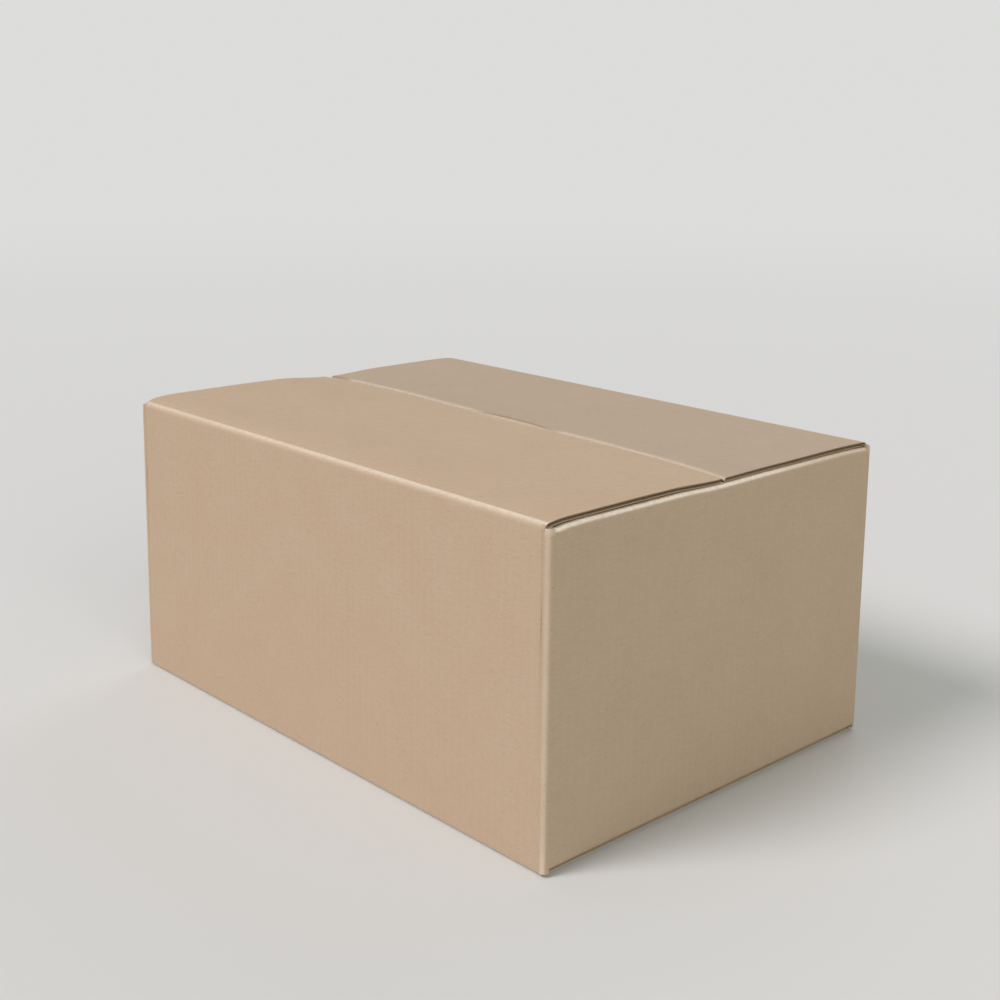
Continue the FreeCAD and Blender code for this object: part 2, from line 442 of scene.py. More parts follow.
def crease_wear_and_light(place, sizes):
    """How pale or dark the liner is here: up to 1 on a crease, as rubbed liner and painted highlight, 0
    away from it, and below 0 in a scored line, as pressed liner and painted shade.
    """
    x = sizes.half_length - abs(place.x)
    y = sizes.half_width - abs(place.y)
    in_slot = abs(place.x) > sizes.right_end + EDGE_SLACK
    on_inner_flap = y > sizes.radius and place.z < sizes.height - INNER_FLAP_DROP
    if not (in_slot or on_inner_flap):
        most = LONG_CREASE_WEAR_AND_HIGHLIGHT + RIGHTWARD_GAIN * place.x / sizes.half_length
        worn_and_highlit = most * rubbed_and_lit_roll(y, sizes.height - place.z, *LONG_CREASE_ROLL)
    elif abs(place.y) < sizes.inner_half + EDGE_SLACK:
        end_top = sizes.inner_top + end_rise(sizes, RIGHT if place.x > 0 else LEFT, place.y)
        most = 1 - BACKWARD_LOSS * smooth_step((place.y - BACKWARD_FROM) / BACKWARD_RUN)
        worn_and_highlit = most * rubbed_and_lit_roll(x, end_top - place.z, *END_CREASE_ROLL)
    else:
        worn_and_highlit = SLOT_ROOT_WEAR * smooth_step((place.z - sizes.height + SLOT_ROOT_FROM) / SLOT_ROOT_RUN)
    from_base = math.hypot(min(x, y) - sizes.crest, place.z - sizes.crest)
    worn_and_highlit = max(worn_and_highlit, BASE_WEAR * bell(from_base, BASE_WIDTH))
    from_corner = math.hypot(x - sizes.radius / 2, y - sizes.radius * (1 - math.sqrt(0.75)))
    most = CORNER_WEAR_AND_HIGHLIGHT + FOOT_GAIN * (1 - smooth_step(place.z / FOOT_HEIGHT))
    worn_and_highlit = max(worn_and_highlit, most * (1 - smooth_step((from_corner - CORNER_HALF) / CORNER_FADE)))
    # Painted shade, with pressed liner, in the scored line beside each upright crease of the front
    if y < sizes.thick / 2 and place.y < 0:
        from_end = x - (sizes.half_length - sizes.right_end)
        worn_and_highlit -= score(sizes, from_end, place.z) / sizes.board.score_depth
    return worn_and_highlit


def rubbed_and_lit_roll(inward, down, low, full, high):
    """How pale a top crease's roll is, as rubbed liner and painted highlight, by how far up the roll from
    its crest the point lies.
    """
    up = (inward - down) / math.sqrt(2)
    near = 1.0 if inward < ROLL_REACH and down < ROLL_REACH else 0.0
    return near * smooth_step((up - low) / (full - low)) * (1 - smooth_step((up - high) / ROLL_FADE))


def rear_darker_tint(place, sizes):
    """How much of the rear top flap's darker, cooler tint shows: none on its panel, all of it past the
    crease.
    """
    return smooth_step((sizes.half_width - place.y) / REAR_DARKER_RUN)


def turned_in(from_cut, depth, run):
    """How far a surface turns in at a cut edge, as a quarter of an ellipse."""
    if from_cut >= run:
        return 0.0
    return depth * (1 - math.sqrt(1 - (1 - max(from_cut, 0.0) / run) ** 2))


def crush(sizes, side, from_side, from_end):
    """How far a liner is pressed in, this far from an outer top flap's side edge and its free edge."""
    board = sizes.board
    depth = board.front_crush if side == FRONT else board.rear_crush
    at_side = turned_in(from_side, board.side_crush, board.side_run)
    return max(at_side, turned_in(from_end, depth, board.end_run))


# The scored line beside an upright crease: its least depth, from where up the panel it deepens, as
# shares of the height, and how it wavers
SCORE_LEAST = 0.25
SCORE_FROM, SCORE_RUN = 0.38, 0.3
SCORE_WAVER = 0.2
SCORE_WAVES = (97.0, 41.0, 1.3)


def score(sizes, from_end, z):
    """Depth of the scored line beside an upright crease, which fades towards the base."""
    fade = SCORE_LEAST + (1 - SCORE_LEAST) * smooth_step((z / sizes.height - SCORE_FROM) / SCORE_RUN)
    short, long, start = SCORE_WAVES
    waver = 1 - SCORE_WAVER + SCORE_WAVER * math.sin(z * short) * math.sin(z * long + start)
    shape = bell(from_end - sizes.board.score_at, sizes.board.score_half)
    return sizes.board.score_depth * fade * waver * shape


def wall_rows(sizes):
    """Heights that every panel shares, so that the panels and corners weld."""
    low = sizes.thick + sizes.radius
    high = sizes.inner_top - sizes.radius
    rows = [sizes.radius] + with_ends(low, high, HEIGHT_INSETS)
    return rows + [sizes.height - sizes.liner_end, sizes.height - sizes.radius]


def long_strip(surface, sizes, side, depth, recess, with_score):
    """A long panel with its outer base flap, this deep in the board, up to its top crease."""
    r = sizes.radius
    low, high = sizes.spans[side]
    base = spread(sizes.half_width - sizes.blank.base_seam / 2 - recess, r, FOLDED_STEP)
    profile = [(out, depth) for out in base]
    profile += arc((r, r), r - depth, 270, 180)[1:]
    wall = [z for z in wall_rows(sizes) if z > r]
    if depth == 0:
        wall = [z for z in wall if z <= sizes.height - sizes.liner_end + TINY]
    profile += [(depth, z) for z in wall]
    if depth == sizes.thick:
        profile += mitred_root(sizes)
    rows = []
    for out, z in profile:
        row = []
        for x in with_ends(low + recess, high - recess, WALL_INSETS):
            dent = 0.0
            if with_score and out == depth and z > r:
                dent = score(sizes, min(x - low, high - x), z)
            row.append(((x, side * (sizes.half_width - out - dent), z), sizes.long_across(side, x)))
        rows.append(row)
    surface.add(rows, flip=(side == REAR) != (depth == sizes.thick))


def mitred_root(sizes):
    """The inside of a top crease up to its mitre, and the mitre's face up to the liner outside."""
    r = sizes.radius
    shift = sizes.mitre_shift
    inside = arc((r, sizes.height - r), r - sizes.thick, 180, 135, MITRE_STEPS)[1:]
    steps = [shift * i / MITRE_STEPS for i in range(1, MITRE_STEPS + 1)]
    inside = [(out - step, z - step) for step, (out, z) in zip(steps, inside)]
    return inside + [(sizes.under_liner - shift, sizes.height - sizes.under_liner - shift)]


# How far an end's board is drawn up by the outer flaps: a share of their lift, less beside the slots,
# from this far below its top crease, and fading past it on the inner flap
DRAWN_SHARE = 0.75
DRAWN_SLOT_RUN = 0.016
DRAWN_BELOW, DRAWN_BELOW_RUN = 0.05, 0.045
DRAWN_PAST, DRAWN_PAST_RUN = 0.006, 0.07


def end_rise(sizes, side, y):
    """How far an end's top crease is drawn up under the outer flap, which springs up there."""
    flap = FRONT if y < 0 else REAR
    lift = flap_height(sizes, flap, side, sizes.half_width - abs(y))
    at_slot = smooth_step((sizes.inner_half - abs(y)) / DRAWN_SLOT_RUN)
    return at_slot * min(max(DRAWN_SHARE * lift, 0.0), sizes.top.end_rise)


def drawn_up(sizes, side, out, y, z):
    """Height of a point of an end's board, which is drawn up near its top crease only."""
    below = smooth_step((z - sizes.inner_top + DRAWN_BELOW) / DRAWN_BELOW_RUN)
    past = smooth_step((out - DRAWN_PAST) / DRAWN_PAST_RUN)
    return z + below * (1 - past) * end_rise(sizes, side, y)


def end_strip(surface, sizes, side, depth, recess, top_reach):
    """An end panel with its inner flaps at the base and the top, this deep in the board."""
    r = sizes.radius
    base = sizes.thick
    top = sizes.inner_top
    folded = spread(sizes.blank.inner_flap_depth - recess, r, FOLDED_STEP)
    profile = [(out, base + depth) for out in folded]
    profile += arc((r, base + r), r - depth, 270, 180)[1:]
    profile += [(depth, z) for z in wall_rows(sizes) if base + r < z < top - r - TINY]
    profile += arc((r, top - r), r - depth, 180, 90)
    near = [r + step for step in CREASE_STEPS[1:6]]
    folded = near + spread(near[-1], top_reach - recess, FOLDED_STEP)[1:]
    profile += [(out, top - depth) for out in folded if out <= top_reach - recess]
    half = sizes.inner_half - recess
    rows = []
    for out, z in profile:
        row = []
        for y in with_ends(-half, half, WALL_INSETS):
            across = sizes.end_across(y) if side == RIGHT else -sizes.end_across(y)
            row.append(((side * (sizes.half_length - out), y, drawn_up(sizes, side, out, y, z)), across))
        rows.append(row)
    surface.add(rows, flip=(side == LEFT) != (depth == sizes.thick))


def corner_posts(surface, sizes, depth, recess):
    """The upright creases between the panels, up and down to the roots of the slots."""
    r = sizes.radius
    end_side = sizes.blank.inner_slot_side
    long_side = sizes.blank.outer_slot_side
    left, right = -sizes.half_length + r, sizes.half_length - r
    front, back = -sizes.half_width + r, sizes.half_width - r
    corners = (
        ((left, front), 180, end_side, long_side, -sizes.right_end - sizes.corner_run),
        ((right, front), 270, long_side, end_side, sizes.right_end),
        ((right, back), 0, end_side, long_side, sizes.end_across(sizes.inner_half)),
        ((sizes.joint_x + r, back), 90, long_side, 0.0, sizes.long_across(REAR, sizes.spans[REAR][0])),
    )
    low = sizes.blank.slot_root + recess
    high = sizes.height - sizes.blank.slot_root - recess
    heights = [low] + wall_rows(sizes) + [high]
    for centre, start, before, after, across in corners:
        path = arc(centre, r - depth, start, start + 90)
        ahead = Vector((-math.sin(math.radians(start)), math.cos(math.radians(start))))
        outward = Vector((math.cos(math.radians(start)), math.sin(math.radians(start))))
        first = Vector(path[0]) - ahead * before
        last = Vector(path[-1]) - outward * after
        path = ([first] if before else []) + [Vector(p) for p in path] + ([last] if after else [])
        rows = []
        for z in heights:
            run = across
            row = []
            for i, place in enumerate(path):
                if i:
                    run += sizes.corner_run * (place - path[i - 1]).length / path_length(path)
                row.append(((place.x, place.y, z), run))
            rows.append(row)
        surface.add(rows, flip=depth == sizes.thick)
    raw = sizes.half_width - sizes.blank.joint_setback - recess
    x = -sizes.half_length + depth
    rows = []
    for z in heights:
        rows.append([((x, y, z), -sizes.end_across(y)) for y in (raw, sizes.inner_half)])
    surface.add(rows, flip=depth == sizes.thick)


def path_length(path):
    return sum((b - a).length for a, b in zip(path, path[1:]))


def carton_surface(sizes, depth, recess=0.0, top_reach=None, with_score=False):
    """All of the fixed sheet at one depth in the board, as an open surface."""
    surface = Surface()
    for side in (FRONT, REAR):
        long_strip(surface, sizes, side, depth, recess, with_score)
    for side in (LEFT, RIGHT):
        end_strip(surface, sizes, side, depth, recess, top_reach or sizes.blank.inner_flap_depth)
    corner_posts(surface, sizes, depth, recess)
    return surface


def glue_tab(sizes):
    """The tapered tab inside the left end panel, as one face of its slab."""
    blank = sizes.blank
    low = sizes.thick + sizes.radius + blank.tab_end_gap
    high = sizes.inner_top - sizes.radius - blank.tab_end_gap
    root = sizes.half_width - sizes.radius
    tip = sizes.half_width - blank.tab_width
    surface = Surface()
    rows = []
    for part in spread(0.0, 1.0, 0.05):
        row = []
        for step in spread(0.0, 1.0, 0.25):
            y = root + (tip - root) * step
            bottom = low + blank.tab_taper * step
            top = high - blank.tab_taper * step
            row.append(((sizes.joint_x + sizes.thick, y, bottom + (top - bottom) * part), -y))
        rows.append(row)
    surface.add(rows, flip=True)
    return surface


# How a flap's crease softens and its soft waves set in, in metres, and how the waves run: radians along
# half of the flap, and for each metre out from its panel
CREASE_SOFTENING = 0.0015
RIPPLE_RUN = 0.03
RIPPLES_ALONG = (5.1, 8.3)
RIPPLES_OUT = (37.0, -22.0)

# Marks on a flap's cut edges: the loose fibres, how much of them shows on the side edges, the painted
# highlight on the front flap's lip, partly a rubbed rim, the painted shade beside it on the rear flap's
# lip, and how fast the painted shade at the left end starts
FIBRE_WIDTH = 0.0009
SIDE_SHARE = 0.15
LIP_HIGHLIGHT, LIP_WIDTH = 0.8, 0.0030
SHADE_MARK, SHADE_WIDTH = 2.2, 0.0022
SHADE_RUN = 0.02


def flap_depth(sizes, side, station):
    """How far an outer top flap reaches from the outside of its panel."""
    middle = mix(sizes.top.seam_drift, 0.0, station)
    gap = mix(sizes.top.seam_gap_left, sizes.top.seam_gap_right, station)
    return sizes.half_width - side * middle - gap / 2


def overlap(sizes, station):
    """How far the front flap's edge rides over the rear one's at this station, from 0 to 1."""
    away = (station * sizes.right_end - sizes.top.overlap_at) / sizes.top.overlap_run
    return math.exp(-(away ** 4))


def flap_height(sizes, side, station, out):
    """How high the outside of an outer top flap lies over the top of the box."""
    top = sizes.top
    r = sizes.radius
    if side == FRONT:
        left, right, seam = top.front_crown_left, top.front_crown_right, top.front_seam_lift
    else:
        left, right, seam = top.rear_crown_left, top.rear_crown_right, top.rear_seam_lift
    crown = mix(left, right, station)
    past = max(out - sizes.crest, 0.0)
    past -= CREASE_SOFTENING * (1 - math.exp(-past / CREASE_SOFTENING))
    rise = crown * (1 - math.exp(-past / top.crown_run))
    edge = top.corner_lift + (seam - top.corner_lift) * (1 - abs(station) ** top.corner_sharpness)
    from_edge = flap_depth(sizes, side, station) - out
    if side == FRONT:
        rise += top.overlap_rise * overlap(sizes, station) * bell(from_edge, top.overlap_curl)
    droop = (edge - crown) * smooth_step(1 - from_edge / top.droop_run)
    bend = math.sqrt(max(r * r - (r - out) ** 2, 0.0)) - r if out < r else 0.0
    settled = smooth_step((out - 2 * r) / RIPPLE_RUN)
    wave = math.sin(station * RIPPLES_ALONG[0] + out * RIPPLES_OUT[0] + side)
    wave *= math.sin(station * RIPPLES_ALONG[1] + out * RIPPLES_OUT[1])
    return bend + rise + droop + top.ripple * settled * wave


def flap_place(sizes, side, station, out, depth):
    """A point of an outer top flap, this deep in the board."""
    z = sizes.height + flap_height(sizes, side, station, out) - depth
    return (sizes.flap_x(side, station), side * (sizes.half_width - out), z)


def flap_stations(sizes, side):
    """Stations from -1 to 1 along an outer top flap, closer at its side edges."""
    low, high = sizes.flap_span(side)
    half = (high - low) / 2
    return [x / half for x in with_ends(-half, half, CUT_INSETS)]


def cut_mark(from_cut):
    """How much a cut edge's loose fibres show, this far from it."""
    return bell(from_cut, FIBRE_WIDTH)


def flap_point(sizes, side, station, out, inside):
    """A liner's point on an outer top flap, how far across the flutes it lies and how near a cut, with
    painted highlight and painted shade along the seam.
    """
    from_side = sizes.from_side(side, station)
    from_end = flap_depth(sizes, side, station) - out
    pressed = crush(sizes, side, from_side, from_end)
    depth = sizes.thick - pressed * sizes.board.inside_share if inside else pressed
    place = flap_place(sizes, side, station, out, depth)
    mark = max(cut_mark(from_end), SIDE_SHARE * cut_mark(from_side))
    # Where the front flap's edge rides over the rear one's, and at the left end, the rear flap's lip takes
    # painted shade and the front flap's lip a painted highlight, partly a rubbed rim
    left_end_shade = smooth_step((-station * sizes.right_end - sizes.top.shade_at) / SHADE_RUN)
    painted_stretch = max(overlap(sizes, station), left_end_shade)
    if side == REAR:
        mark = mark * (1 - painted_stretch) - SHADE_MARK * painted_stretch * bell(from_end, SHADE_WIDTH)
    else:
        mark = max(mark, LIP_HIGHLIGHT * painted_stretch * bell(from_end, LIP_WIDTH))
    return place, sizes.long_across(side, place[0]), mark


def flap_outs(start, reach):
    """Distances from the panel's outside to a flap's rows, closer near its crease and its free edge."""
    middle = spread(start + CREASE_STEPS[-1], reach - CUT_INSETS[-1], FLAP_STEP)
    outs = [start + step for step in CREASE_STEPS[:-1]]
    return outs + middle + [reach - inset for inset in reversed(CUT_INSETS[:-1])]


def moved(sizes, out, stretch):
    """Where a row lies at a station whose flap is deeper than the mean by this stretch."""
    start = sizes.liner_end + CREASE_STEPS[-1]
    last = sizes.mean_reach - CUT_INSETS[-1]
    return out + stretch * min(max((out - start) / (last - start), 0.0), 1.0)


def flap_rows(sizes, side, inside):
    """Rows of a liner's points from near the crease to the free edge."""
    outs = flap_outs(sizes.liner_end, sizes.mean_reach)
    columns = []
    for station in flap_stations(sizes, side):
        stretch = flap_depth(sizes, side, station) - sizes.mean_reach
        places = [moved(sizes, out, stretch) for out in outs]
        columns.append([flap_point(sizes, side, station, out, inside) for out in places])
    return [list(row) for row in zip(*columns)]


def flap_outer_surface(sizes, side):
    """The top of an outer top flap, past the liner that bends."""
    surface = Surface()
    surface.add(flap_rows(sizes, side, False), flip=side == REAR)
    return surface


def flap_inner_surface(sizes, side):
    """The underside of an outer top flap, with the face of its mitre."""
    surface = Surface()
    shift = sizes.mitre_shift
    root = sizes.crest + sizes.thick * math.sqrt(0.5)
    rows = []
    for out in (sizes.under_liner, root):
        row = []
        for station in flap_stations(sizes, side):
            x = sizes.flap_x(side, station)
            place = (x, side * (sizes.half_width - out - shift), sizes.height - out + shift)
            row.append((place, sizes.long_across(side, x), 0.0))
        rows.append(row)
    rows += flap_rows(sizes, side, True)
    surface.add(rows, flip=side == FRONT)
    return surface


def bending_liner_surface(sizes, side):
    """The outside liner round a top crease, from the panel to the flap."""
    surface = Surface()
    r = sizes.radius
    stations = flap_stations(sizes, side)
    outs = [r - r * math.cos(math.radians(angle)) for angle in spread(0, 90, BEND_DEGREES)]
    first = []
    for station in stations:
        x = sizes.flap_x(side, station)
        place = (x, side * sizes.half_width, sizes.height - sizes.liner_end)
        first.append((place, sizes.long_across(side, x), 0.0))
    rows = [first]
    for out in outs + [sizes.liner_end]:
        rows.append([bend_point(sizes, side, station, out) for station in stations])
    surface.add(rows, flip=side == REAR)
    return surface


def bend_point(sizes, side, station, out):
    """A point of the bending liner, whose ends turn in as those of the flap's own liner do."""
    from_side = sizes.from_side(side, station)
    settled = smooth_step(out / sizes.liner_end)
    place = flap_place(sizes, side, station, out, crush(sizes, side, from_side, 1.0) * settled)
    return place, sizes.long_across(side, place[0]), SIDE_SHARE * cut_mark(from_side) * settled


def squeezed(sizes, side, from_side, from_end):
    """The share of its height that a flute loses, this far from a flap's cut edges."""
    room = sizes.thick / 2 - sizes.board.liner
    return min(crush(sizes, side, from_side, from_end) / room, MOST_FLATTENED)


def flap_medium_surface(sizes, side):
    """The middle of an outer top flap. Its flutes are counted from the right end, where one crests."""
    surface = Surface()
    low, high = sizes.flap_span(side)
    half = (high - low) / 2
    step = sizes.board.flute_pitch / STEPS_PER_FLUTE
    outs = flap_outs(sizes.liner_end + FLUTE_START, sizes.mean_reach)
    columns = []
    for x in spread(-half + FLUTE_INSET, half - FLUTE_INSET, step):
        station = x / half
        reach = flap_depth(sizes, side, station)
        column = []
        for row_out in outs:
            out = min(moved(sizes, row_out, reach - sizes.mean_reach), reach - sizes.board.cut_recess)
            place = flap_place(sizes, side, station, out, sizes.thick / 2)
            cut = squeezed(sizes, side, sizes.from_side(side, station), reach - out)
            column.append((place, high - place[0], cut))
        columns.append(column)
    surface.add([list(row) for row in zip(*columns)], flip=side == REAR)
    return surface


def inner_flap_medium_surface(sizes):
    """The middle of both inner top flaps."""
    surface = Surface()
    half = sizes.inner_half - sizes.board.cut_recess
    z = sizes.inner_top - sizes.thick / 2
    reach = sizes.blank.inner_flap_depth - sizes.board.cut_recess
    for side in (LEFT, RIGHT):
        rows = []
        for out in spread(INNER_CORE_END * sizes.radius, reach, FOLDED_STEP):
            row = []
            for y in spread(-half, half, sizes.board.flute_pitch / STEPS_PER_FLUTE):
                place = (side * (sizes.half_length - out), y, drawn_up(sizes, side, out, y, z))
                row.append((place, sizes.end_across(y), 0.0))
            rows.append(row)
        surface.add(rows, flip=side == RIGHT)
    return surface


class Nodes:
    """Short ways to add and join the nodes of one tree."""

    def __init__(self, tree):
        self.nodes = tree.nodes
        self.join = tree.links.new
        self.nodes.clear()

    def new(self, kind, **settings):
        """Adds a node with these settings."""
        node = self.nodes.new(kind)
        for name, value in settings.items():
            setattr(node, name, value)
        return node

    def fed(self, kind, feeds, **settings):
        """Adds a node, gives its inputs a socket, a number or a colour each, and returns its outputs."""
        node = self.new(kind, **settings)
        for key, value in feeds.items():
            socket = node.inputs[key]
            if isinstance(value, bpy.types.NodeSocket):
                self.join(value, socket)
            elif socket.type == "RGBA":
                socket.default_value = (*value, 1.0)
            else:
                socket.default_value = value
        return node.outputs

    def math(self, operation, *values):
        return self.fed("ShaderNodeMath", dict(enumerate(values)), operation=operation)["Value"]

    def plus(self, first, second):
        return self.math("ADD", first, second)

    def less(self, first, second):
        return self.math("SUBTRACT", first, second)

    def times(self, first, second):
        return self.math("MULTIPLY", first, second)

    def mark(self, name):
        """A value that the piece's own points hold, for a material."""
        return self.new("ShaderNodeAttribute", attribute_name=name).outputs["Fac"]

    def mapped(self, source, scale, turn):
        feeds = {"Vector": source, "Scale": scale, "Rotation": turn}
        return self.fed("ShaderNodeMapping", feeds)["Vector"]

    def noise(self, vector, scale, detail, roughness):
        feeds = {"Vector": vector, "Scale": scale, "Detail": detail, "Roughness": roughness}
        return self.fed("ShaderNodeTexNoise", feeds)["Fac"]

    def ranged(self, value, low, high, to_low=0.0, to_high=1.0):
        feeds = {"Value": value, "From Min": low, "From Max": high, "To Min": to_low, "To Max": to_high}
        return self.fed("ShaderNodeMapRange", feeds, interpolation_type="SMOOTHSTEP")["Result"]

    def mix(self, factor, first, second, blend="MIX"):
        feeds = {0: factor, 6: first, 7: second}
        return self.fed("ShaderNodeMix", feeds, data_type="RGBA", blend_type=blend)[2]

    def shaders(self, factor, first, second):
        return self.fed("ShaderNodeMixShader", {0: factor, 1: first, 2: second})[0]

    def bump(self, height, strength, distance, normal=None):
        feeds = {"Strength": strength, "Distance": distance, "Height": height}
        if normal is not None:
            feeds["Normal"] = normal
        return self.fed("ShaderNodeBump", feeds)["Normal"]

    def backdrop_rays(self, path):
        """1 for a ray that shows the backdrop: to the camera, off something glossy or through glass."""
        seen = self.math("MAXIMUM", path["Is Camera Ray"], path["Is Glossy Ray"])
        return self.math("MAXIMUM", seen, path["Is Transmission Ray"])


FLUTE_INPUTS = {
    "Geometry": "Geometry",
    "Pitch": "Float",
    "Height": "Float",
    "Paper": "Float",
    "Rise": "Vector",
    "Material": "Material",
}


def flute_tree():
    """Nodes that turn a smooth middle surface into one sheet of fluted paper."""
    tree = bpy.data.node_groups.new("fluted_paper", "GeometryNodeTree")
    for name, kind in FLUTE_INPUTS.items():
        tree.interface.new_socket(name, in_out="INPUT", socket_type=f"NodeSocket{kind}")
    tree.interface.new_socket("Geometry", in_out="OUTPUT", socket_type="NodeSocketGeometry")
    n = Nodes(tree)
    given = n.new("NodeGroupInput").outputs
    across, cut = (
        n.fed("GeometryNodeInputNamedAttribute", {"Name": name}, data_type="FLOAT")["Attribute"]
        for name in ("across", "cut")
    )
    turns = n.math("DIVIDE", across, given["Pitch"])
    wave = n.math("COSINE", n.times(turns, 2 * math.pi))
    lift = n.times(n.times(wave, n.times(given["Height"], 0.5)), n.less(1.0, cut))
    lift = n.plus(lift, n.times(given["Paper"], -0.5))
    risen = {0: given["Rise"], "Scale": lift}
    offset = n.fed("ShaderNodeVectorMath", risen, operation="SCALE")["Vector"]
    move = {"Geometry": given["Geometry"], "Offset": offset}
    sheet = n.fed("GeometryNodeSetPosition", move)["Geometry"]
    walls = {"Mesh": sheet, "Individual": False, "Offset Scale": given["Paper"]}
    join = n.new("GeometryNodeJoinGeometry")
    n.join(n.fed("GeometryNodeExtrudeMesh", walls)["Mesh"], join.inputs["Geometry"])
    n.join(n.fed("GeometryNodeFlipFaces", {"Mesh": sheet})["Mesh"], join.inputs["Geometry"])
    weld = {"Geometry": join.outputs["Geometry"], "Distance": FLUTE_WELD}
    closed = n.fed("GeometryNodeMergeByDistance", weld)["Geometry"]
    real = n.fed("GeometryNodeRealizeInstances", {"Geometry": closed})["Geometry"]
    paint = {"Geometry": real, "Material": given["Material"]}
    painted = n.fed("GeometryNodeSetMaterial", paint)["Geometry"]
    n.fed("NodeGroupOutput", {"Geometry": painted})
    return tree


def flute(obj, sizes, material):
    """Runs the fluting nodes on a middle surface and keeps the result as a plain mesh."""
    tree = bpy.data.node_groups.get("fluted_paper") or flute_tree()
    board = sizes.board
    values = {
        "Pitch": board.flute_pitch,
        "Height": board.thickness - 2 * board.liner - board.medium - FLUTE_ROOM,
        "Paper": board.medium,
        "Rise": (0.0, 0.0, 1.0),
        "Material": material,
    }
    inputs = [item for item in tree.interface.items_tree if item.in_out == "INPUT"]
    sockets = {item.name: item.identifier for item in inputs}
    nodes = obj.modifiers.new("flutes", "NODES")
    nodes.node_group = tree
    for name, value in values.items():
        nodes[sockets[name]] = value
    bake_modifiers(obj)


def fluted_piece(surface, name, material, sizes):
    """The fluted paper that follows a middle surface, dressed."""
    piece = surface.to_object(name)
    flute(piece, sizes, material)
    dress(piece, material, sizes)
    return piece


# Grain of the paper: scale, detail and roughness of each noise
CLOUDS = (26.0, 4.0, 0.6)
PULP = (420.0, 3.0, 0.65)
FIBRES = (1500.0, 2.0, 0.5)
SPECKS = (900.0, 1.0, 0.5)
RIDGE_WAVER = (9.0, 2.0, 0.5)
RIDGE_PATCHES = (14.0, 2.0, 0.5)
WEAR_AND_HIGHLIGHT_PATCHES = (240.0, 3.0, 0.7)

# Scale and turn of the fibres' two directions and of the specks
FIBRE_LIES = (((0.11, 1.0, 1.0), (0.0, 0.0, 0.12)), ((1.0, 0.11, 1.0), (0.1, 0.0, 0.0)))
SPECK_LIE = ((1.0, 1.0, 1.0), (0.4, 0.2, 0.9))

# Levels between which each noise counts, and where two more follow, what it counts as there
CLOUD_LEVELS = (0.35, 0.65, 0.0, 0.5)
PALE_LEVELS = (0.50, 0.66)
DARK_LEVELS = (0.50, 0.36)
SPECK_LEVELS = (0.70, 0.78)
RIDGE_LEVELS = (0.30, 0.72, 0.25, 1.0)
WEAR_AND_HIGHLIGHT_LEVELS = (0.28, 0.62, 0.70, 1.0)
ROUGH_LEVELS = (0.3, 0.7)

# How strongly each shows in the colour, the gloss and the relief
CLOUD_TINT = (0.985, 1.0, 1.03)
PULP_SHADE = 0.8
FIBRE_SHADE = 0.35
SPECK_SHADE = 0.28
RIDGE_SHADE = 0.010
RIDGE_WANDER = 1.2
# The pale colour's share on cut edges and on the front lip's painted highlight, and the dark colour's
# share in scored lines and painted shade
CUT_AND_HIGHLIGHT_SHARE = 0.58
SCORED_AND_SHADE_SHARE = 0.38
ROUGH_HALF = 0.06
PAPER_GLOSS = 0.22
FIBRE_RELIEF, PULP_RELIEF = 0.35, 0.65
PAPER_BUMP = (0.35, 0.00025)
RIDGE_BUMP = (0.5, 0.00010)


def new_material(name):
    """A material and the short ways to build its tree."""
    material = bpy.data.materials.new(name)
    material.use_nodes = True
    return material, Nodes(material.node_tree)


def tinted(colour_values, tint):
    """A colour times a tint."""
    return tuple(value * part for value, part in zip(colour_values, tint))


def flute_ridges(n, place):
    """The washboard of the flutes under a liner, which shows more in some patches than in others."""
    pitch = bpy.context.scene.carton_board.flute_pitch
    waver = n.times(n.less(n.noise(place, *RIDGE_WAVER), 0.5), RIDGE_WANDER)
    turn = n.plus(n.times(n.mark("across"), 2 * math.pi / pitch), waver)
    patch = n.ranged(n.noise(place, *RIDGE_PATCHES), *RIDGE_LEVELS)
    return n.times(n.math("SINE", turn), patch)


def wear_and_light_tint(n, place, tint, base, kraft):
    """The liner's colour with the rear flap's darker tint, the pale colour of rubbed liner and painted
    highlight, and the dark colour of pressed lines and painted shade.
    """
    tint = n.mix(n.mark("rear_darker"), tint, tinted(base, kraft.rear_darker_tint))
    wear_and_painted_light = n.mark("wear_and_painted_light")
    cut = n.mark("cut")
    # Rubbed liner and painted highlight take the pale colour
    rubbed = n.math("MAXIMUM", wear_and_painted_light, n.times(cut, CUT_AND_HIGHLIGHT_SHARE))
    patchy = n.ranged(n.noise(place, *WEAR_AND_HIGHLIGHT_PATCHES), *WEAR_AND_HIGHLIGHT_LEVELS)
    tint = n.mix(n.times(n.times(rubbed, patchy), kraft.wear_and_painted_light), tint, kraft.worn_and_highlit)
    # Pressed liner and painted shade take the dark colour, where a mark lies below nought
    pressed_and_shaded = n.math("MINIMUM", n.math("MINIMUM", wear_and_painted_light, cut), 0.0)
    return n.mix(n.times(pressed_and_shaded, -SCORED_AND_SHADE_SHARE), tint, kraft.pressed)


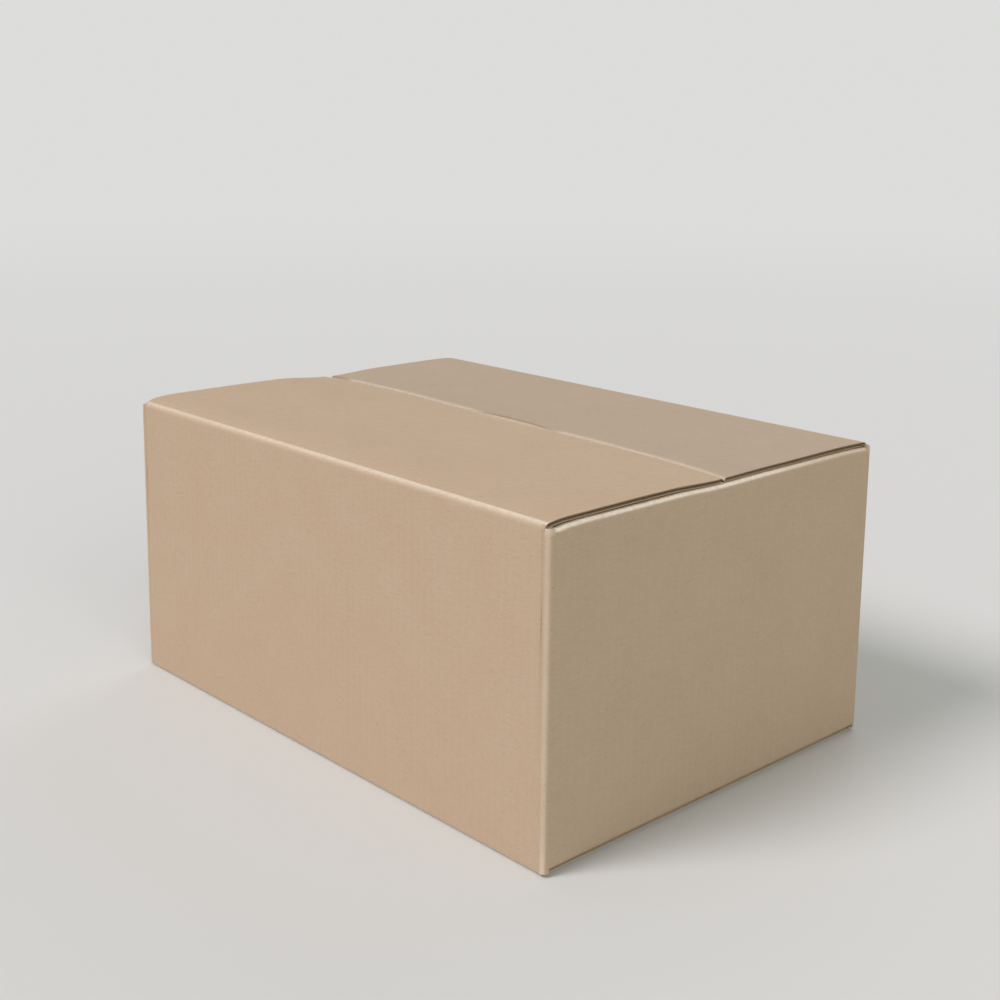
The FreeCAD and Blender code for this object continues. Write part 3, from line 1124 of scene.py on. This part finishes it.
def kraft_paper(name, kraft, base, flutes, specks, worn_and_highlit):
    """Uncoated kraft liner: cloudy pulp, pale and dark fibres, specks, and the flutes showing through."""
    material, n = new_material(name)
    place = n.new("ShaderNodeTexCoord").outputs["Object"]
    cloud = n.noise(place, *CLOUDS)
    pulp = n.noise(place, *PULP)
    along_x, along_y = (n.noise(n.mapped(place, *lie), *FIBRES) for lie in FIBRE_LIES)
    fibre = n.times(n.plus(along_x, along_y), 0.5)
    strands = n.less(n.ranged(fibre, *PALE_LEVELS), n.ranged(fibre, *DARK_LEVELS))
    speck = n.ranged(n.noise(n.mapped(place, *SPECK_LIE), *SPECKS), *SPECK_LEVELS)
    shade = n.times(n.less(cloud, 0.5), kraft.mottle)
    shade = n.plus(shade, n.times(n.less(pulp, 0.5), kraft.mottle * PULP_SHADE))
    shade = n.plus(shade, n.times(strands, kraft.fibre * FIBRE_SHADE))
    shade = n.less(shade, n.times(speck, SPECK_SHADE * specks))
    relief = n.plus(n.times(fibre, FIBRE_RELIEF), n.times(pulp, PULP_RELIEF))
    normal = n.bump(relief, *PAPER_BUMP)
    if flutes:
        ridges = flute_ridges(n, place)
        shade = n.plus(shade, n.times(ridges, RIDGE_SHADE * flutes))
        strength, distance = RIDGE_BUMP
        normal = n.bump(ridges, strength, distance * flutes, normal)
    tint = n.mix(n.ranged(cloud, *CLOUD_LEVELS), base, tinted(base, CLOUD_TINT))
    if worn_and_highlit:
        tint = wear_and_light_tint(n, place, tint, base, kraft)
    gain = n.plus(shade, 1.0)
    grey = n.fed("ShaderNodeCombineColor", {"Red": gain, "Green": gain, "Blue": gain})["Color"]
    rough = n.ranged(pulp, *ROUGH_LEVELS, kraft.roughness - ROUGH_HALF, kraft.roughness + ROUGH_HALF)
    finish = {
        "Base Color": n.mix(1.0, tint, grey, blend="MULTIPLY"),
        "Roughness": rough,
        "Specular IOR Level": PAPER_GLOSS,
        "Normal": normal,
    }
    n.fed("ShaderNodeOutputMaterial", {"Surface": n.fed("ShaderNodeBsdfPrincipled", finish)["BSDF"]})
    return material


def papers():
    """The three papers, made once: colour, how much the flutes and specks show, and whether it shows
    rubbed liner with painted highlight and shade.
    """
    kraft = bpy.context.scene.carton_kraft
    wanted = {
        "outside": (kraft.outside, 1.0, 1.0, True),
        "inside": (kraft.inside, 1.4, 1.3, True),
        "core": (kraft.core, 0.0, 0.6, False),
    }
    made = {}
    for paper, looks in wanted.items():
        name = f"kraft_{paper}"
        made[paper] = bpy.data.materials.get(name) or kraft_paper(name, kraft, *looks)
    return made


class CARTON_OT_fixed_board(bpy.types.Operator):
    """Builds the panels, the glued base and the inner flaps"""

    bl_idname = "carton.fixed_board"
    bl_label = "Panels and inner flaps"

    def execute(self, context):
        sizes = Sizes(context.scene)
        liner = sizes.board.liner
        recess = sizes.board.cut_recess
        paper = papers()
        face = carton_surface(sizes, 0.0, with_score=True)
        outside = board_piece(face, "carton_outside_liner", liner, paper["outside"], sizes, worn_and_highlit=True)
        face = carton_surface(sizes, sizes.thick)
        inside = board_piece(face, "carton_inside_liner", liner, paper["inside"], sizes)
        middle = carton_surface(sizes, sizes.thick / 2, recess, INNER_CORE_END * sizes.radius + recess)
        thickness = sizes.thick - 2 * liner - CORE_ROOM
        core = board_piece(middle, "carton_core", thickness, paper["core"], sizes, offset=0.0)
        tab = board_piece(glue_tab(sizes), "glue_tab", sizes.thick, paper["inside"], sizes)
        middle = inner_flap_medium_surface(sizes)
        flutes = fluted_piece(middle, "inner_flap_flutes", paper["core"], sizes)
        for piece in (outside, inside, core, tab, flutes):
            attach(piece, "carton")
        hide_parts("carton")
        return {"FINISHED"}


class CARTON_OT_top_flaps(bpy.types.Operator):
    """Builds the two outer top flaps, which fold open"""

    bl_idname = "carton.top_flaps"
    bl_label = "Outer top flaps"

    def execute(self, context):
        sizes = Sizes(context.scene)
        liner = sizes.board.liner
        paper = papers()
        for name, side in SIDES.items():
            made = f"{name}_flap_outside_liner"
            face = flap_outer_surface(sizes, side)
            outside = board_piece(face, made, liner, paper["outside"], sizes, worn_and_highlit=True, rear=side == REAR)
            face = flap_inner_surface(sizes, side)
            inside = board_piece(face, f"{name}_flap_inside_liner", liner, paper["inside"], sizes)
            middle = flap_medium_surface(sizes, side)
            flutes = fluted_piece(middle, f"{name}_flap_flutes", paper["core"], sizes)
            for piece in (outside, inside, flutes):
                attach(piece, f"{name}_flap")
            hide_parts(f"{name}_top_flap")
        return {"FINISHED"}


class CARTON_OT_top_creases(bpy.types.Operator):
    """Builds the outside liner that bends round each outer top flap's crease"""

    bl_idname = "carton.top_creases"
    bl_label = "Top creases"

    def execute(self, context):
        sizes = Sizes(context.scene)
        thick = sizes.board.liner
        paper = papers()["outside"]
        for name, side in SIDES.items():
            made = f"{name}_crease_liner"
            face = bending_liner_surface(sizes, side)
            liner = board_piece(face, made, thick, paper, sizes, worn_and_highlit=True, rear=side == REAR)
            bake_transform(liner)
        return {"FINISHED"}


# The direction that each lamp shines in, and its softness in degrees
KEY_LAMP = ((0.28, 0.80, -0.85), 24)
FILL_LAMP = ((-0.85, 0.30, -0.45), 40)
BACK_LAMP = ((0.35, -0.85, -0.55), 40)

# Distances in metres between which the floor fades, and within which it lets a ray through to the base
FLOOR_FADE = (0.9, 4.5)
FLOOR_CLEAR = 0.0015
FLOOR_POINTS = 96


def lamp(name, strength, direction, softness, tint=(1.0, 1.0, 1.0)):
    """A far soft lamp that shines along a direction."""
    data = bpy.data.lights.new(name, "SUN")
    data.energy = strength
    data.angle = math.radians(softness)
    data.color = tint
    obj = bpy.data.objects.new(name, data)
    obj.rotation_mode = "QUATERNION"
    obj.rotation_quaternion = Vector(direction).to_track_quat("-Z", "Y")
    bpy.context.scene.collection.objects.link(obj)


def floor_material(studio):
    """Pale floor that fades into the backdrop, clear from below and where the box's base touches it."""
    material, n = new_material("studio_floor")
    place = n.new("ShaderNodeTexCoord").outputs["Object"]
    away = n.fed("ShaderNodeVectorMath", {0: place}, operation="LENGTH")["Value"]
    path = n.new("ShaderNodeLightPath").outputs
    far = n.times(n.ranged(away, *FLOOR_FADE), n.backdrop_rays(path))
    diffuse = n.fed("ShaderNodeBsdfDiffuse", {"Color": studio.floor_colour})[0]
    glow = n.fed("ShaderNodeEmission", {"Color": studio.backdrop})[0]
    touching = n.less(n.math("LESS_THAN", path["Ray Length"], FLOOR_CLEAR), path["Is Camera Ray"])
    below = n.math("MAXIMUM", n.new("ShaderNodeNewGeometry").outputs["Backfacing"], touching)
    clear = n.new("ShaderNodeBsdfTransparent").outputs[0]
    shown = n.shaders(below, n.shaders(far, diffuse, glow), clear)
    n.fed("ShaderNodeOutputMaterial", {"Surface": shown})
    return material


def floor(studio):
    """A round floor under the box."""
    data = bpy.data.meshes.new("studio_floor")
    mesh = bmesh.new()
    bmesh.ops.create_circle(mesh, cap_ends=True, segments=FLOOR_POINTS, radius=studio.floor_radius)
    bmesh.ops.translate(mesh, verts=mesh.verts, vec=(0.0, 0.0, -studio.floor_drop))
    mesh.to_mesh(data)
    mesh.free()
    data.materials.append(floor_material(studio))
    obj = bpy.data.objects.new("studio_floor", data)
    bpy.context.scene.collection.objects.link(obj)


def sky(scene, studio):
    """Even light from all round, with the backdrop's colour for what the camera sees."""
    world = bpy.data.worlds.new("studio_world")
    world.use_nodes = True
    n = Nodes(world.node_tree)
    seen = n.backdrop_rays(n.new("ShaderNodeLightPath").outputs)
    light = n.fed("ShaderNodeBackground", {"Color": studio.sky_tint, "Strength": studio.sky})[0]
    shown = n.fed("ShaderNodeBackground", {"Color": studio.backdrop, "Strength": 1.0})[0]
    n.fed("ShaderNodeOutputWorld", {"Surface": n.shaders(seen, light, shown)})
    scene.world = world


# The camera: its place in metres, its angles in degrees, and its lens in pixels of the picture
CAMERA_PLACE = Vector((0.7554, -0.6952, 0.4294))
CAMERA_AZIMUTH = 46.941
CAMERA_ELEVATION = 10.741
CAMERA_ROLL = 0.679
CAMERA_FOCAL_PIXELS = 1487.1
CAMERA_CENTRE_ROW = 380.0
PHOTO_PIXELS = 1000.0
SENSOR = 36.0


def camera(scene):
    """A camera where the photograph's was, with its frame moved down as the photograph's is."""
    data = bpy.data.cameras.new("photo_camera")
    data.sensor_width = SENSOR
    data.lens = CAMERA_FOCAL_PIXELS / PHOTO_PIXELS * SENSOR
    data.shift_y = (CAMERA_CENTRE_ROW - PHOTO_PIXELS / 2) / PHOTO_PIXELS
    obj = bpy.data.objects.new("photo_camera", data)
    azimuth, elevation = math.radians(CAMERA_AZIMUTH), math.radians(CAMERA_ELEVATION)
    level = math.cos(elevation)
    back = Vector((math.sin(azimuth) * level, -math.cos(azimuth) * level, math.sin(elevation)))
    roll = Matrix.Rotation(math.radians(CAMERA_ROLL), 3, "Z").to_quaternion()
    obj.rotation_mode = "QUATERNION"
    obj.rotation_quaternion = back.to_track_quat("Z", "Y") @ roll
    obj.location = CAMERA_PLACE
    scene.collection.objects.link(obj)
    scene.camera = obj


class CARTON_OT_studio(bpy.types.Operator):
    """Builds the floor, the lamps and the camera"""

    bl_idname = "carton.studio"
    bl_label = "Studio"

    def execute(self, context):
        scene = context.scene
        studio = scene.carton_studio
        scene.view_settings.view_transform = "Standard"
        sky(scene, studio)
        floor(studio)
        lamp("key_lamp", studio.key, *KEY_LAMP, studio.key_tint)
        lamp("fill_lamp", studio.fill, *FILL_LAMP, studio.fill_tint)
        lamp("back_lamp", studio.back, *BACK_LAMP)
        camera(scene)
        return {"FINISHED"}


OPERATORS = (CARTON_OT_fixed_board, CARTON_OT_top_flaps, CARTON_OT_top_creases, CARTON_OT_studio)


class CARTON_PT_sidebar(bpy.types.Panel):
    """Lists the sizes, the colours and the pieces of the carton"""

    bl_idname = "CARTON_PT_sidebar"
    bl_label = "Carton"
    bl_space_type = "VIEW_3D"
    bl_region_type = "UI"
    bl_category = "Carton"

    def draw(self, context):
        for group, kind in GROUPS.items():
            box = self.layout.box()
            box.label(text=kind.__doc__)
            for name in kind.__annotations__:
                box.prop(getattr(context.scene, group), name)
        for operator in OPERATORS:
            self.layout.operator(operator.bl_idname)


def register():
    for kind in (*GROUPS.values(), *OPERATORS, CARTON_PT_sidebar):
        bpy.utils.register_class(kind)
    for name, kind in GROUPS.items():
        setattr(bpy.types.Scene, name, PointerProperty(type=kind))


def unregister():
    for name in GROUPS:
        delattr(bpy.types.Scene, name)
    for kind in (CARTON_PT_sidebar, *reversed(OPERATORS), *reversed(GROUPS.values())):
        bpy.utils.unregister_class(kind)


def main():
    register()
    bpy.ops.carton.fixed_board()
    bpy.ops.carton.top_flaps()
    bpy.ops.carton.top_creases()
    bpy.ops.carton.studio()


if __name__ == "__main__":
    main()
